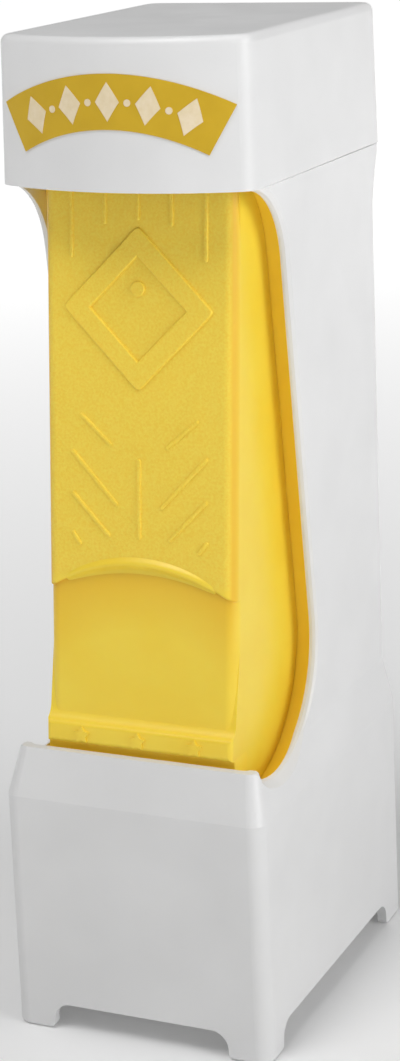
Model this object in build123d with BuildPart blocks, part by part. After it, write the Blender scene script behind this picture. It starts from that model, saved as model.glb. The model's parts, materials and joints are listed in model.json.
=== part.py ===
from build123d import *
from math import acos, atan2, cos, degrees, hypot, pi, radians, sin, sqrt
import os

os.makedirs("parts", exist_ok=True)

# Frame: X is the width, the lever is at the front on -Y, and Z is up.
# The origin is on the floor, in the middle of the width and of the whole depth.

# Overall sizes
height = 240.0
depth = 96.8
front_y = -depth / 2
rear_y = depth / 2

# Base, shoulder and column of the housing
foot_width = 68.0
base_width = 67.4
base_height = 60.7
base_rear_inset = 3.0
base_wall = 2.5
shoulder_height = 11.6
shoulder_front_inset = 4.0
column_width = 62.4
column_top_width = 63.0
column_rear_inset = 4.7
column_wall = 2.0
corner_radius = 4.5
base_corner_radius = 3.8
shoulder_corner_radius = 2.9
inner_corner_radius = 2.5
shoulder_top = base_height + shoulder_height
base_rear = rear_y - base_rear_inset
column_rear = rear_y - column_rear_inset
column_front = front_y + shoulder_front_inset

# Feet left by the arches in the bottom edge
arch_height = 7.0
arch_margin = 10.7
front_arch_width = foot_width - 2 * arch_margin
side_arch_front = -39.5
side_arch_rear = 33.0
arch_corner = 4.5
foot_round = 1.8
foot_edge_round = 0.8

# Lid
lid_height = 33.85
lid_gap = 0.2
lid_wall = 2.0
lid_top_width = 61.8
lid_corner_front = -34.4
lid_bow = 7.6
lid_front_draft = 1.3
lid_top_fillet = 2.0
seam = height - lid_height
column_top = seam - lid_gap
lid_half = column_top_width / 2

# Hinge of the lid at the rear rim
hinge_pin_radius = 0.95
hinge_barrel_radius = 2.0
hinge_pin_length = 40.0
hinge_knuckle_width = 19.4
hinge_side_gap = 0.3
hinge_y = rear_y - 2.8
hinge_z = seam - 2.15
cove_drop = 15.0
cove_bottom = hinge_z - cove_drop

# Curve of the side walls' cut, seen from the side: two arcs and their common tangent
cut_low_radius = 26.6
cut_low_y = -30.7
cut_low_rise = 22.1
cut_low_z = shoulder_top + cut_low_rise
cut_high_radius = 20.0
cut_high_y = -35.9
cut_high_z = seam - cut_high_radius
cut_bevel_wide = 1.2
cut_angle_wide = 20.0
cut_bevel_narrow = 0.7
cut_angle_narrow = 50.0

# Lever
lever_width = 48.4
lever_wall = 2.0
lever_rise = 5.85
lever_top = seam + lever_rise
lever_face_top_y = -27.7
lever_face_low_y = -40.9
lip_gap = 1.2
lip_bottom = shoulder_top + lip_gap
lip_depth = 1.3
lip_height = 5.1
lip_slope_height = 3.3
lip_recess = 1.6
lip_slope_hollow = 0.4
lip_edge_round = 1.2
lip_root = 0.4
scoop_depth = 0.9
scoop_rise = 44.3
scoop_drop = 7.4
scoop_crown = lip_bottom + scoop_rise
scoop_side = scoop_crown - scoop_drop
panel_depth = 5.2
lever_edge_round = 2.8
scoop_edge_round = 0.6
brim_setback = 4.6
brim_thickness = 2.2
brim_gap = 0.35
brim_inset = 0.6
brim_front = column_front + column_wall + 0.4
plate_rear = -30.0
ear_length = 22.0
arm_top_width = 13.5

# Relief on the lever's face
relief_height = 0.6
diamond_drop = 28.45
diamond_outer = 19.1
diamond_inner = 12.1
diamond_corner = 1.2
dot_rise = 4.6
line_rise = 2.1
dot_radius = 1.8
ridge_width = 1.0
ridge_height = 0.35
ridge_root = 0.5
star_radius = 2.1
star_waist = 0.55
star_height = 0.4
star_spacing = 14.7

# Pivot of the lever
pivot_y = -8.0
pivot_drop = 6.15
pivot_z = seam - pivot_drop
pivot_radius = 1.5
pivot_fit = 0.05
seat_fit = 0.02
ear_radius = 5.0
pivot_boss_radius = 4.0
pivot_boss_gap = 1.0
pivot_end_gap = 0.5

# Torsion springs and their spacers
spring_wire = 1.2
spring_radius = 3.4
spring_turns = 4
spring_pitch = 1.9
spring_leg_drop = 19.0
spring_leg_z = pivot_z - spring_leg_drop
spring_leg_overlap = 0.8
spacer_radius = 4.2
sleeve_length = 17.0

# Butter chute
butter_width = 32.0
butter_clearance = 1.5
chute_wall = 1.6
chute_rear_gap = 1.1
chute_bottom = 23.0
flange_thickness = 2.0
flange_gap = 0.5
funnel_height = 4.0
funnel_flare = 2.6
funnel_rear_flare = 0.5
chute_inside = butter_width + butter_clearance
chute_outside = chute_inside + 2 * chute_wall
chute_rear = column_rear - column_wall - chute_rear_gap
chute_front = chute_rear - chute_outside
chute_y = (chute_front + chute_rear) / 2
flange_bottom = pivot_z + pivot_radius + 0.1

# Screws
post_radius = 3.6
post_margin = 6.3
post_x = column_top_width / 2 - post_margin
front_post_y = 12.0
rear_post_y = 36.6
front_post_height = 13.6
rear_post_height = 52.0
screw_radius = 1.25
screw_length = 9.0
screw_head_radius = 2.3
screw_head_height = 1.4

# Cutting carriage
blade_stroke = 34.3
blade_thickness = 0.6
blade_gap = 0.4
blade_width = 34.0
blade_length = 48.0
blade_bevel = 1.6
block_gap = 1.3
block_width = lever_width - 2 * (lever_wall + block_gap)
block_front_gap = 1.6
block_front = front_y + base_wall + block_front_gap
block_length = 12.8
block_height = 15.4
drive_pin_radius = 1.5
drive_pin_setback = 6.8
drive_pin_y = block_front + drive_pin_setback
drive_pin_z = 33.0
slot_clearance = 0.35
arm_end_radius = 4.2
clip_radius = 3.0
clip_thickness = 0.8
clip_gap = 0.2
blade_screw_radius = 1.0
blade_screw_head_radius = 1.8
blade_screw_head_height = 1.2
blade_screw_length = 6.0
blade_screw_spacing = 20.0
blade_top = chute_bottom - blade_gap

# Guide rails
rail_radius = 2.0
rail_margin = 6.4
rail_x = base_width / 2 - rail_margin
rail_z = 19.5
rail_fit = 0.05
bush_radius = 3.3
wing_gap = 0.4
lug_length = 3.4
lug_width = 6.6
lug_inset = 0.9
rail_recess = 0.4

# Base plate
plate_bottom = 7.5
plate_thickness = 2.5
plate_gap = 0.3
plate_boss_margin = 5.1
plate_boss_x = base_width / 2 - plate_boss_margin
plate_boss_radius = 2.7
plate_boss_height = 5.4
plate_boss_front_y = -12.0
plate_boss_rear_y = 30.0
plate_screw_length = 6.0
ledge_width = 1.8
ledge_thickness = 1.2
portion_height = 8.0
collar_gap = 0.6
plate_top = plate_bottom + plate_thickness

# Bumpers that the lever's arms rest on
bumper_radius = 3.0
bumper_drop = 10.7
bumper_z = base_height - bumper_drop
bumper_gap = 0.3

# Label
label_thickness = 0.25
label_rise = 19.95
label_mid_z = seam + label_rise
label_height = 12.2
label_half_angle = 28.1
label_outer_radius = 60.2

far = 200.0


def plan_outline(half_width, front, rear, z, radius=corner_radius):
    """Rectangular plan section with rounded corners."""
    with BuildSketch(Plane.XY.offset(z)) as section:
        with Locations((0, (front + rear) / 2)):
            RectangleRounded(2 * half_width, rear - front, radius)
    return section.sketch


def lid_outline(half_width, front, rear, bow, z, radius=corner_radius):
    """Plan section of the lid, whose front bows outwards."""
    with BuildSketch(Plane.XY.offset(z)) as section:
        with BuildLine():
            Line((half_width, rear), (-half_width, rear))
            Line((-half_width, rear), (-half_width, front))
            ThreePointArc((-half_width, front), (0, front - bow), (half_width, front))
            Line((half_width, front), (half_width, rear))
        make_face()
        fillet(section.vertices(), radius)
    return section.sketch


def lid_solid(extra, bottom, top):
    """The lid's outer shape grown by extra, between two heights."""
    low = lid_outline(lid_half + extra, lid_corner_front - extra, rear_y + extra, lid_bow, bottom)
    narrowing = (column_top_width - lid_top_width) / 2
    high = lid_outline(
        lid_half - narrowing + extra,
        lid_corner_front + lid_front_draft - extra,
        rear_y - narrowing + extra,
        lid_bow,
        top,
    )
    with BuildPart() as shape:
        loft(sections=[low.face(), high.face()], ruled=True)
    return shape.part


def face_y(z):
    """Y of the lever's main face at a height."""
    slope = (lever_face_top_y - lever_face_low_y) / (seam - lip_bottom)
    return lever_face_low_y + slope * (z - lip_bottom)


def wall_half(z):
    """Half width of the column's inside at a height."""
    share = (z - shoulder_top) / (column_top - shoulder_top)
    return (column_width + (column_top_width - column_width) * share) / 2 - column_wall


def on_low_arc(radius, y):
    """Height of the lower arc's bottom at a given Y."""
    return cut_low_z - sqrt(radius**2 - (y - cut_low_y) ** 2)


def front_region(setback, start_y):
    """Everything in front of the cut's curve, set back from it by a distance."""
    low_r = cut_low_radius + setback
    high_r = cut_high_radius + setback
    run_y = cut_low_y - cut_high_y
    run_z = cut_low_z - cut_high_z
    lean = atan2(run_z, run_y) + acos((high_r - low_r) / hypot(run_y, run_z))
    start_z = on_low_arc(low_r, start_y)
    start_angle = atan2(start_z - cut_low_z, start_y - cut_low_y)
    low_mid = (start_angle + lean) / 2
    high_mid = (lean + pi / 2) / 2
    low_end = (cut_low_y + low_r * cos(lean), cut_low_z + low_r * sin(lean))
    high_start = (cut_high_y + high_r * cos(lean), cut_high_z + high_r * sin(lean))
    high_end = (cut_high_y, cut_high_z + high_r)
    with BuildSketch(Plane.YZ) as region:
        with BuildLine():
            Line((-far, start_z), (start_y, start_z))
            ThreePointArc(
                (start_y, start_z),
                (cut_low_y + low_r * cos(low_mid), cut_low_z + low_r * sin(low_mid)),
                low_end,
            )
            Line(low_end, high_start)
            ThreePointArc(
                high_start,
                (cut_high_y + high_r * cos(high_mid), cut_high_z + high_r * sin(high_mid)),
                high_end,
            )
            Line(high_end, (-far, high_end[1]))
            Line((-far, high_end[1]), (-far, start_z))
        make_face()
    return region.sketch_local


# Housing: one moulding of base, shoulder and column
base_inner_front = front_y + base_wall
base_inner_rear = base_rear - base_wall
column_inner_rear = column_rear - column_wall
column_inner_front = column_front + column_wall
cut_front_y = column_front + shoulder_corner_radius

base_section = plan_outline(base_width / 2, front_y, base_rear, base_height, base_corner_radius)
shoulder_section = plan_outline(
    column_width / 2, column_front, column_rear, shoulder_top, shoulder_corner_radius
)
top_section = plan_outline(lid_half, column_front, column_rear, column_top)
foot_inside = plan_outline(
    foot_width / 2 - base_wall, base_inner_front, base_inner_rear, 0, inner_corner_radius
)
base_inside = plan_outline(
    base_width / 2 - base_wall, base_inner_front, base_inner_rear, base_height - 1, inner_corner_radius
)
shoulder_inside = plan_outline(
    column_width / 2 - column_wall, column_inner_front, column_inner_rear, shoulder_top, inner_corner_radius
)
top_inside = plan_outline(
    lid_half - column_wall, column_inner_front, column_inner_rear, column_top, inner_corner_radius
)


def side_cut():
    """Side section that the column's front and its side walls are cut to."""
    with BuildSketch(Plane.YZ) as section:
        add(front_region(0, cut_front_y))
        with Locations((cut_front_y - far / 2, shoulder_top - far / 2)):
            Rectangle(far, far, mode=Mode.SUBTRACT)
    return section.sketch_local


# The rear rim flares out in a cove up to the hinge's round
flare_rear = hinge_y + hinge_barrel_radius
flare_sections = []
for step in range(5):
    share = step / 4
    flare_z = cove_bottom + (hinge_z - cove_bottom) * share
    flare_y = column_rear + (flare_rear - column_rear) * share**1.6
    flare_sections.append(plan_outline(lid_half, column_inner_rear - 12, flare_y, flare_z))
rim_section = plan_outline(lid_half, column_inner_rear - 12, flare_rear, column_top)

# The bottom edge is rounded in steps of its quarter circle
round_sections = []
for step in range(5):
    turn = radians(90 * step / 4)
    inset = foot_edge_round * (1 - sin(turn))
    round_sections.append(
        plan_outline(
            foot_width / 2 - inset,
            front_y + inset,
            base_rear - inset,
            foot_edge_round * (1 - cos(turn)),
            base_corner_radius - inset,
        )
    )

# two bevels that round off the outer edge of the side walls' curve
with BuildPart() as edge_bevel:
    for width, angle in ((cut_bevel_wide, cut_angle_wide), (cut_bevel_narrow, cut_angle_narrow)):
        with BuildSketch(Plane.YZ.offset(column_width / 2 - width)):
            add(side_cut())
        extrude(amount=2 * base_wall, taper=-angle)
    mirror(about=Plane.YZ)

with BuildPart() as housing:
    for low, high in zip(round_sections, round_sections[1:]):
        loft(sections=[low.face(), high.face()], ruled=True)
    loft(sections=[round_sections[-1].face(), base_section.face()], ruled=True)
    loft(sections=[base_section.face(), shoulder_section.face()], ruled=True)
    loft(sections=[shoulder_section.face(), top_section.face()], ruled=True)
    loft(sections=[section.face() for section in flare_sections])
    loft(sections=[flare_sections[-1].face(), rim_section.face()], ruled=True)
    # the round of the rear rim lies about the hinge's axis
    with BuildSketch(Plane.YZ) as rim_round:
        with Locations((hinge_y + hinge_barrel_radius, column_top)):
            Rectangle(2 * hinge_barrel_radius, 2 * (column_top - hinge_z))
        with Locations((hinge_y, hinge_z)):
            Circle(hinge_barrel_radius, mode=Mode.SUBTRACT)
    extrude(amount=far, both=True, mode=Mode.SUBTRACT)
    loft(sections=[foot_inside.face(), base_inside.face()], ruled=True, mode=Mode.SUBTRACT)
    loft(sections=[base_inside.face(), shoulder_inside.face()], ruled=True, mode=Mode.SUBTRACT)
    loft(sections=[shoulder_inside.face(), top_inside.face()], ruled=True, mode=Mode.SUBTRACT)
    # the front of the column and the side walls' curve
    with BuildSketch(Plane.YZ):
        add(side_cut())
    extrude(amount=far, both=True, mode=Mode.SUBTRACT)
    add(edge_bevel.part, mode=Mode.SUBTRACT)
    # arches between the four feet
    with BuildSketch(Plane.XZ) as front_arch:
        with Locations((0, 0)):
            Rectangle(front_arch_width, 2 * arch_height)
        fillet(front_arch.vertices(), arch_corner)
        with Locations((0, 0)):
            Rectangle(front_arch_width + 2 * foot_round, 2 * foot_round)
        with GridLocations(front_arch_width + 2 * foot_round, 2 * foot_round, 2, 2):
            Circle(foot_round, mode=Mode.SUBTRACT)
    extrude(amount=far, both=True, mode=Mode.SUBTRACT)
    with BuildSketch(Plane.YZ) as side_arch:
        side_arch_width = side_arch_rear - side_arch_front
        with Locations(((side_arch_front + side_arch_rear) / 2, 0)):
            Rectangle(side_arch_width, 2 * arch_height)
        fillet(side_arch.vertices(), arch_corner)
        with Locations(((side_arch_front + side_arch_rear) / 2, 0)):
            Rectangle(side_arch_width + 2 * foot_round, 2 * foot_round)
            with GridLocations(side_arch_width + 2 * foot_round, 2 * foot_round, 2, 2):
                Circle(foot_round, mode=Mode.SUBTRACT)
    extrude(amount=far, both=True, mode=Mode.SUBTRACT)
    # notch and pin holes of the hinge
    notch_depth = hinge_barrel_radius + 1.3
    notch_width = hinge_knuckle_width + 2 * hinge_side_gap
    notch_low = hinge_z - notch_depth
    notch_front = hinge_y - hinge_barrel_radius - 0.8
    with BuildSketch(Plane.YZ) as notch:
        with Locations(((notch_front + far) / 2, (notch_low + far * 2) / 2)):
            Rectangle(far - notch_front, far * 2 - notch_low)
    extrude(amount=notch_width / 2, both=True, mode=Mode.SUBTRACT)
    with BuildSketch(Plane.YZ) as hinge_hole:
        with Locations((hinge_y, hinge_z)):
            Circle(hinge_pin_radius + seat_fit)
    extrude(amount=hinge_pin_length / 2 + 0.2, both=True, mode=Mode.SUBTRACT)
    for side in (-1, 1):
        inner = wall_half(pivot_z)
        # seat of the pivot pin, open to the top
        seat_start = lever_width / 2 + pivot_boss_gap
        seat_plane = Plane.YZ.offset(side * (inner + column_wall / 2))
        with BuildSketch(seat_plane) as seat:
            with Locations((pivot_y, pivot_z)):
                Circle(pivot_boss_radius)
            with Locations((pivot_y, (pivot_z + flange_bottom) / 2)):
                Rectangle(2 * pivot_boss_radius, flange_bottom - pivot_z)
            with Locations((pivot_y, flange_bottom + pivot_boss_radius)):
                Rectangle(2 * pivot_boss_radius, 2 * pivot_boss_radius, mode=Mode.SUBTRACT)
            with Locations((pivot_y, pivot_z)):
                Circle(pivot_radius + seat_fit, mode=Mode.SUBTRACT)
            with Locations((pivot_y, (pivot_z + flange_bottom) / 2)):
                Rectangle(2 * (pivot_radius + seat_fit), flange_bottom - pivot_z, mode=Mode.SUBTRACT)
        extrude(amount=-side * (inner + column_wall / 2 - seat_start))
        # posts for the chute's flange, with webs to the side wall
        for post_y, post_height in ((front_post_y, front_post_height), (rear_post_y, rear_post_height)):
            with BuildSketch(Plane.XY.offset(flange_bottom)) as post:
                with Locations((side * post_x, post_y)):
                    Circle(post_radius)
                web_end = inner + column_wall / 2
                with Locations((side * (post_x + web_end) / 2, post_y)):
                    Rectangle(web_end - post_x, 2 * post_radius)
            extrude(amount=-post_height)
            with Locations((side * post_x, post_y, flange_bottom)):
                Hole(screw_radius, screw_length + 0.5)
        # low bosses for the base plate's screws
        for boss_y in (plate_boss_front_y, plate_boss_rear_y):
            with BuildSketch(Plane.XY.offset(plate_top)) as boss:
                with Locations((side * plate_boss_x, boss_y)):
                    Circle(plate_boss_radius)
                boss_end = foot_width / 2 - base_wall / 2
                with Locations((side * (plate_boss_x + boss_end) / 2, boss_y)):
                    Rectangle(boss_end - plate_boss_x, 2 * plate_boss_radius)
            extrude(amount=plate_boss_height)
            with BuildSketch(Plane.XY.offset(plate_top)) as boss_hole:
                with Locations((side * plate_boss_x, boss_y)):
                    Circle(screw_radius)
            extrude(amount=plate_boss_height - 0.8, mode=Mode.SUBTRACT)
housing.part.label = "housing"
export_step(housing.part, "parts/housing.step")

# Lid: a cap with a bowed front, hinged at the rear
lid_outside = lid_solid(0, seam, height)
lid_inside = lid_solid(-lid_wall, seam, height - lid_wall)
with BuildPart() as lid:
    add(lid_outside)
    fillet(lid.faces().sort_by(Axis.Z)[-1].edges(), lid_top_fillet)
    add(lid_inside, mode=Mode.SUBTRACT)
    with BuildSketch(Plane.YZ) as knuckle:
        with Locations((hinge_y, hinge_z)):
            Circle(hinge_barrel_radius)
        neck_top = seam + 6.0
        neck_front = hinge_y - 1.4
        neck_rear = hinge_y + 1.4
        with Locations(((neck_front + neck_rear) / 2, (hinge_z + neck_top) / 2)):
            Rectangle(neck_rear - neck_front, neck_top - hinge_z)
        with Locations((hinge_y, hinge_z)):
            Circle(hinge_pin_radius + pivot_fit, mode=Mode.SUBTRACT)
    extrude(amount=hinge_knuckle_width / 2, both=True)
lid.part.label = "lid"
export_step(lid.part, "parts/lid.step")

# Label: a thin arched film on the lid's bowed front
label_inner_radius = label_outer_radius - label_height
label_centre_z = label_mid_z + label_height / 2 - label_outer_radius
with BuildPart() as lid_label:
    add(lid_solid(label_thickness, seam, height))
    with BuildSketch(Plane.XZ.offset(-front_y / 2)) as fan:
        with Locations((0, label_centre_z)):
            Circle(label_outer_radius)
            Circle(label_inner_radius, mode=Mode.SUBTRACT)
        wedge = [(0, label_centre_z)]
        for turn in (-1, 1):
            angle = radians(90 - turn * label_half_angle)
            wedge.append((far * cos(angle), label_centre_z + far * sin(angle)))
        with BuildLine():
            Polyline(*wedge, close=True)
        make_face(mode=Mode.INTERSECT)
    extrude(amount=far, mode=Mode.INTERSECT)
    add(lid_outside, mode=Mode.SUBTRACT)
lid_label.part.label = "lid_label"
export_step(lid_label.part, "parts/lid_label.step")

with BuildPart() as lid_hinge_pin:
    with BuildSketch(Plane.YZ):
        with Locations((hinge_y, hinge_z)):
            Circle(hinge_pin_radius)
    extrude(amount=hinge_pin_length / 2, both=True)
lid_hinge_pin.part.label = "lid_hinge_pin"
export_step(lid_hinge_pin.part, "parts/lid_hinge_pin.step")

# Lever: a moulded shell with a brim, two ears at the pivot and two arms into the base
lean_angle = atan2(face_y(seam) - face_y(lip_bottom), seam - lip_bottom)
outward = Axis((0, 0, 0), (0, -cos(lean_angle), sin(lean_angle)))
lever_half = lever_width / 2
inner_x = lever_half - lever_wall
brim_half = wall_half(shoulder_top) - brim_gap
lip_top = lip_bottom + lip_height
scoop_bottom = lip_top + lip_slope_height
diamond_z = seam - diamond_drop
dot_z = diamond_z + dot_rise
star_z = lip_bottom + lip_height / 2


def behind_face(offset, low, high):
    """Region behind the lever's main face between two heights, moved back by offset."""
    with BuildSketch(Plane.YZ) as region:
        with BuildLine():
            Polyline(
                (face_y(low) + offset, low),
                (face_y(high) + offset, high),
                (far, high),
                (far, low),
                close=True,
            )
        make_face()
    return region.sketch_local


def face_plane(z, depth=0.0):
    """Plane on the lever's main face, or behind it by depth, with its Y running up the face."""
    return Plane(
        origin=(0, face_y(z) + depth, z),
        x_dir=(1, 0, 0),
        z_dir=outward.direction,
    )


def up_face(z, start):
    """Distance along the face from one height to another."""
    return (z - start) / cos(lean_angle)


def ridge(low_x, low_z, high_x, high_z):
    """A thin rounded ridge on the lever's face between two points, given as X and Z."""
    low_v = up_face(low_z, diamond_z)
    high_v = up_face(high_z, diamond_z)
    with BuildPart() as line:
        with BuildSketch(face_plane(diamond_z, ridge_root)):
            with Locations(((low_x + high_x) / 2, (low_v + high_v) / 2)):
                SlotCenterToCenter(
                    hypot(high_x - low_x, high_v - low_v),
                    ridge_width,
                    rotation=degrees(atan2(high_v - low_v, high_x - low_x)),
                )
        extrude(amount=ridge_root + ridge_height)
        fillet(line.faces().sort_by(outward)[-1].edges(), ridge_height * 0.8)
    return line.part


def bottom_plate():
    """Side section of the part of the lever's bottom that stays below the hollow."""
    with BuildSketch(Plane.YZ) as section:
        with Locations((plate_rear - far / 2, lip_bottom - far / 2)):
            Rectangle(far, far)
        with Locations((cut_low_y, cut_low_z)):
            Circle(cut_low_radius + brim_setback, mode=Mode.SUBTRACT)
    return section.sketch_local


# upper panel, whose lower edge arches over the scoop
with BuildPart() as lever_panel:
    with BuildSketch(face_plane(scoop_side)) as panel_front:
        crown = up_face(scoop_crown, scoop_side)
        panel_top = up_face(lever_top, scoop_side)
        with BuildLine():
            ThreePointArc((-lever_half, 0), (0, crown), (lever_half, 0))
            Polyline((lever_half, 0), (lever_half, panel_top), (-lever_half, panel_top), (-lever_half, 0))
        make_face()
    extrude(amount=-panel_depth)
    panel_edges = lever_panel.faces().sort_by(outward)[-1].edges().sort_by(Axis.Z)
    fillet(panel_edges[1:-1], lever_edge_round)
    fillet(lever_panel.faces().sort_by(outward)[-1].edges().sort_by(Axis.Z)[0], scoop_edge_round)

# lip along the bottom of the front
lip_front = face_y(lip_bottom) - lip_depth
arm_top_y = face_y(lip_bottom) + 1.2
with BuildPart() as lever_lip:
    with BuildSketch(Plane.YZ) as lip_side:
        lip_shoulder = (face_y(lip_top) - lip_depth, lip_top)
        slope_top = (face_y(scoop_bottom) + scoop_depth + lip_root, scoop_bottom)
        slope_mid = (
            (lip_shoulder[0] + slope_top[0]) / 2 + lip_slope_hollow,
            (lip_shoulder[1] + slope_top[1]) / 2 - lip_slope_hollow,
        )
        with BuildLine():
            ThreePointArc(slope_top, slope_mid, lip_shoulder)
            Polyline(
                lip_shoulder,
                (lip_front, lip_bottom),
                (lip_front + panel_depth, lip_bottom),
                (slope_top[0] + lever_wall / 2, scoop_bottom),
                slope_top,
            )
        make_face()
    extrude(amount=lever_half, both=True)
    lip_face = lever_lip.faces().filter_by(lambda f: f.center().Z < lip_top).sort_by(Axis.Y)[0]
    fillet(lip_face.edges(), lip_edge_round)

with BuildPart() as lever_shell:
    # closed box of the lever behind the scoop's plane, with the recess below the lip
    with BuildSketch(Plane.YZ) as box_side:
        add(front_region(brim_setback, brim_front))
        with BuildLine():
            Polyline(
                (face_y(lever_top) + scoop_depth, lever_top),
                (face_y(lip_top) + scoop_depth, lip_top),
                (lip_front + lip_recess, lip_bottom),
                (lip_front + lip_recess, 0),
                (far, 0),
                (far, lever_top),
                close=True,
            )
        make_face(mode=Mode.INTERSECT)
    extrude(amount=lever_half, both=True)
    scoop_edges = lever_shell.edges().filter_by(
        lambda e: abs(abs(e.center().X) - lever_half) < 0.01
        and e.center().Y < face_y(e.center().Z) + scoop_depth + 0.01
        and e.center().Z > lip_top
    )
    fillet(scoop_edges, lever_edge_round)
    add(lever_panel.part)
    add(lever_lip.part)
    # brim that follows the walls' cut
    with BuildSketch(Plane.YZ) as brim:
        add(front_region(brim_setback + brim_thickness, brim_front))
        add(front_region(brim_setback, brim_front), mode=Mode.SUBTRACT)
        add(behind_face(brim_inset, 0, column_top - brim_inset), mode=Mode.INTERSECT)
        with Locations((pivot_y, pivot_z)):
            Circle(pivot_boss_radius + pivot_boss_gap, mode=Mode.SUBTRACT)
    extrude(amount=brim_half, both=True)
    # ears to the pivot and arms to the drive pin
    for side in (-1, 1):
        with BuildSketch(Plane.YZ.offset(side * inner_x)) as ear:
            with BuildLine():
                Polyline(
                    (face_y(pivot_z) + lever_wall, pivot_z + ear_radius),
                    (pivot_y, pivot_z + ear_radius),
                    (pivot_y + ear_radius, pivot_z),
                    (pivot_y - ear_radius, pivot_z - ear_length),
                    (face_y(pivot_z) + lever_wall, pivot_z - ear_length),
                    close=True,
                )
            make_face()
            with Locations((pivot_y, pivot_z)):
                Circle(ear_radius)
        extrude(amount=side * lever_wall)
        with BuildSketch(Plane.YZ.offset(side * inner_x)) as arm:
            with BuildLine():
                Polyline(
                    (arm_top_y, lip_bottom - 1),
                    (drive_pin_y + arm_top_width, lip_bottom - 5.5),
                    (drive_pin_y + arm_end_radius, drive_pin_z),
                    (drive_pin_y - arm_end_radius, drive_pin_z),
                    close=True,
                )
            make_face()
            with Locations((drive_pin_y, drive_pin_z)):
                Circle(arm_end_radius)
        extrude(amount=side * lever_wall)
    # hollow of the shell, which keeps the bottom plate's front
    with BuildSketch(Plane.YZ) as hollow:
        add(behind_face(lever_wall, scoop_crown + lever_wall, far + seam))
        add(behind_face(scoop_depth + lever_wall, drive_pin_z, scoop_crown + lever_wall))
        add(bottom_plate(), mode=Mode.SUBTRACT)
    extrude(amount=inner_x, both=True, mode=Mode.SUBTRACT)
    # pin holes
    with BuildSketch(Plane.YZ) as pin_holes:
        with Locations((pivot_y, pivot_z)):
            Circle(pivot_radius + pivot_fit)
        with Locations((drive_pin_y, drive_pin_z)):
            Circle(drive_pin_radius + seat_fit)
    extrude(amount=far, both=True, mode=Mode.SUBTRACT)
with BuildPart() as diamond_frame:
    with BuildSketch(face_plane(diamond_z)) as diamond:
        Rectangle(diamond_outer * sqrt(2), diamond_outer * sqrt(2), rotation=45)
        fillet(diamond.vertices(), diamond_corner)
        Rectangle(diamond_inner * sqrt(2), diamond_inner * sqrt(2), rotation=45, mode=Mode.SUBTRACT)
    extrude(amount=-relief_height)
    extrude(diamond.sketch, amount=relief_height)
    fillet(diamond_frame.faces().sort_by(outward)[-1].edges(), relief_height * 0.7)
with BuildPart() as diamond_dot:
    with BuildSketch(face_plane(dot_z, ridge_root)):
        Circle(dot_radius)
    extrude(amount=relief_height + ridge_root)
    fillet(diamond_dot.faces().sort_by(outward)[-1].edges(), relief_height * 0.6)
with BuildPart() as face_relief:
    add(diamond_frame.part)
    add(diamond_dot.part)
    # rays and short lines: X as a share of the half width, heights as shares of the panel below the diamond
    panel_span = diamond_z - scoop_crown
    line_top = seam + line_rise
    add(ridge(0, diamond_z - 0.885 * panel_span, 0, diamond_z - 0.587 * panel_span))
    add(ridge(0, diamond_z + 1.08 * diamond_outer, 0, line_top))
    for side in (-1, 1):
        half = side * lever_half
        for line_x, line_low in ((0.347, 1.02), (0.70, 0.61)):
            add(ridge(half * line_x, diamond_z + line_low * diamond_outer, half * line_x, line_top))
        for low_x, low_drop, high_x, high_drop in (
            (0.30, 0.528, 0.607, 0.421),
            (0.24, 0.763, 0.706, 0.564),
            (0.326, 0.888, 0.70, 0.731),
            (0.636, 0.928, 0.71, 0.888),
        ):
            low_point = (half * low_x, diamond_z - low_drop * panel_span)
            high_point = (half * high_x, diamond_z - high_drop * panel_span)
            add(ridge(*low_point, *high_point))
    # three stars on the lip
    for place in (-1, 0, 1):
        points = []
        for corner in range(10):
            reach = star_radius if corner % 2 == 0 else star_radius * star_waist
            angle = radians(90 + 36 * corner)
            points.append((place * star_spacing + reach * cos(angle), reach * sin(angle)))
        with BuildSketch(face_plane(star_z, -lip_depth)):
            with BuildLine():
                Polyline(*points, close=True)
            make_face()
        extrude(amount=star_height, both=True)
with BuildPart() as squeeze_lever:
    add(lever_shell.part)
    add(face_relief.part)
squeeze_lever.part.label = "squeeze_lever"
export_step(squeeze_lever.part, "parts/squeeze_lever.step")

# Pivot pin with its sleeve, spacers and torsion springs
pivot_half = wall_half(pivot_z) - pivot_end_gap
with BuildPart() as lever_pivot_pin:
    with BuildSketch(Plane.YZ):
        with Locations((pivot_y, pivot_z)):
            Circle(pivot_radius)
    extrude(amount=pivot_half, both=True)
    chamfer(lever_pivot_pin.edges(), 0.3)
lever_pivot_pin.part.label = "lever_pivot_pin"
export_step(lever_pivot_pin.part, "parts/lever_pivot_pin.step")

with BuildPart() as spring_sleeve:
    with BuildSketch(Plane.YZ):
        with Locations((pivot_y, pivot_z)):
            Circle(spacer_radius)
            Circle(pivot_radius + seat_fit, mode=Mode.SUBTRACT)
    extrude(amount=sleeve_length / 2, both=True)
spring_sleeve.part.label = "spring_sleeve"
export_step(spring_sleeve.part, "parts/spring_sleeve.step")

coil_start = sleeve_length / 2 + spring_wire / 2 + 0.2
leg_reach_front = face_y(spring_leg_z) + lever_wall + spring_wire / 2 + 0.3
leg_reach_rear = chute_front - spring_wire / 2 - 0.1


def leg_start(end_y, turn):
    """Point on the coil where a straight leg to the given end leaves it."""
    run_y = end_y - pivot_y
    run_z = spring_leg_z - pivot_z
    angle = atan2(run_z, run_y) + turn * acos(spring_radius / hypot(run_y, run_z))
    return angle, (pivot_y + spring_radius * cos(angle), pivot_z + spring_radius * sin(angle))


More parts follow.
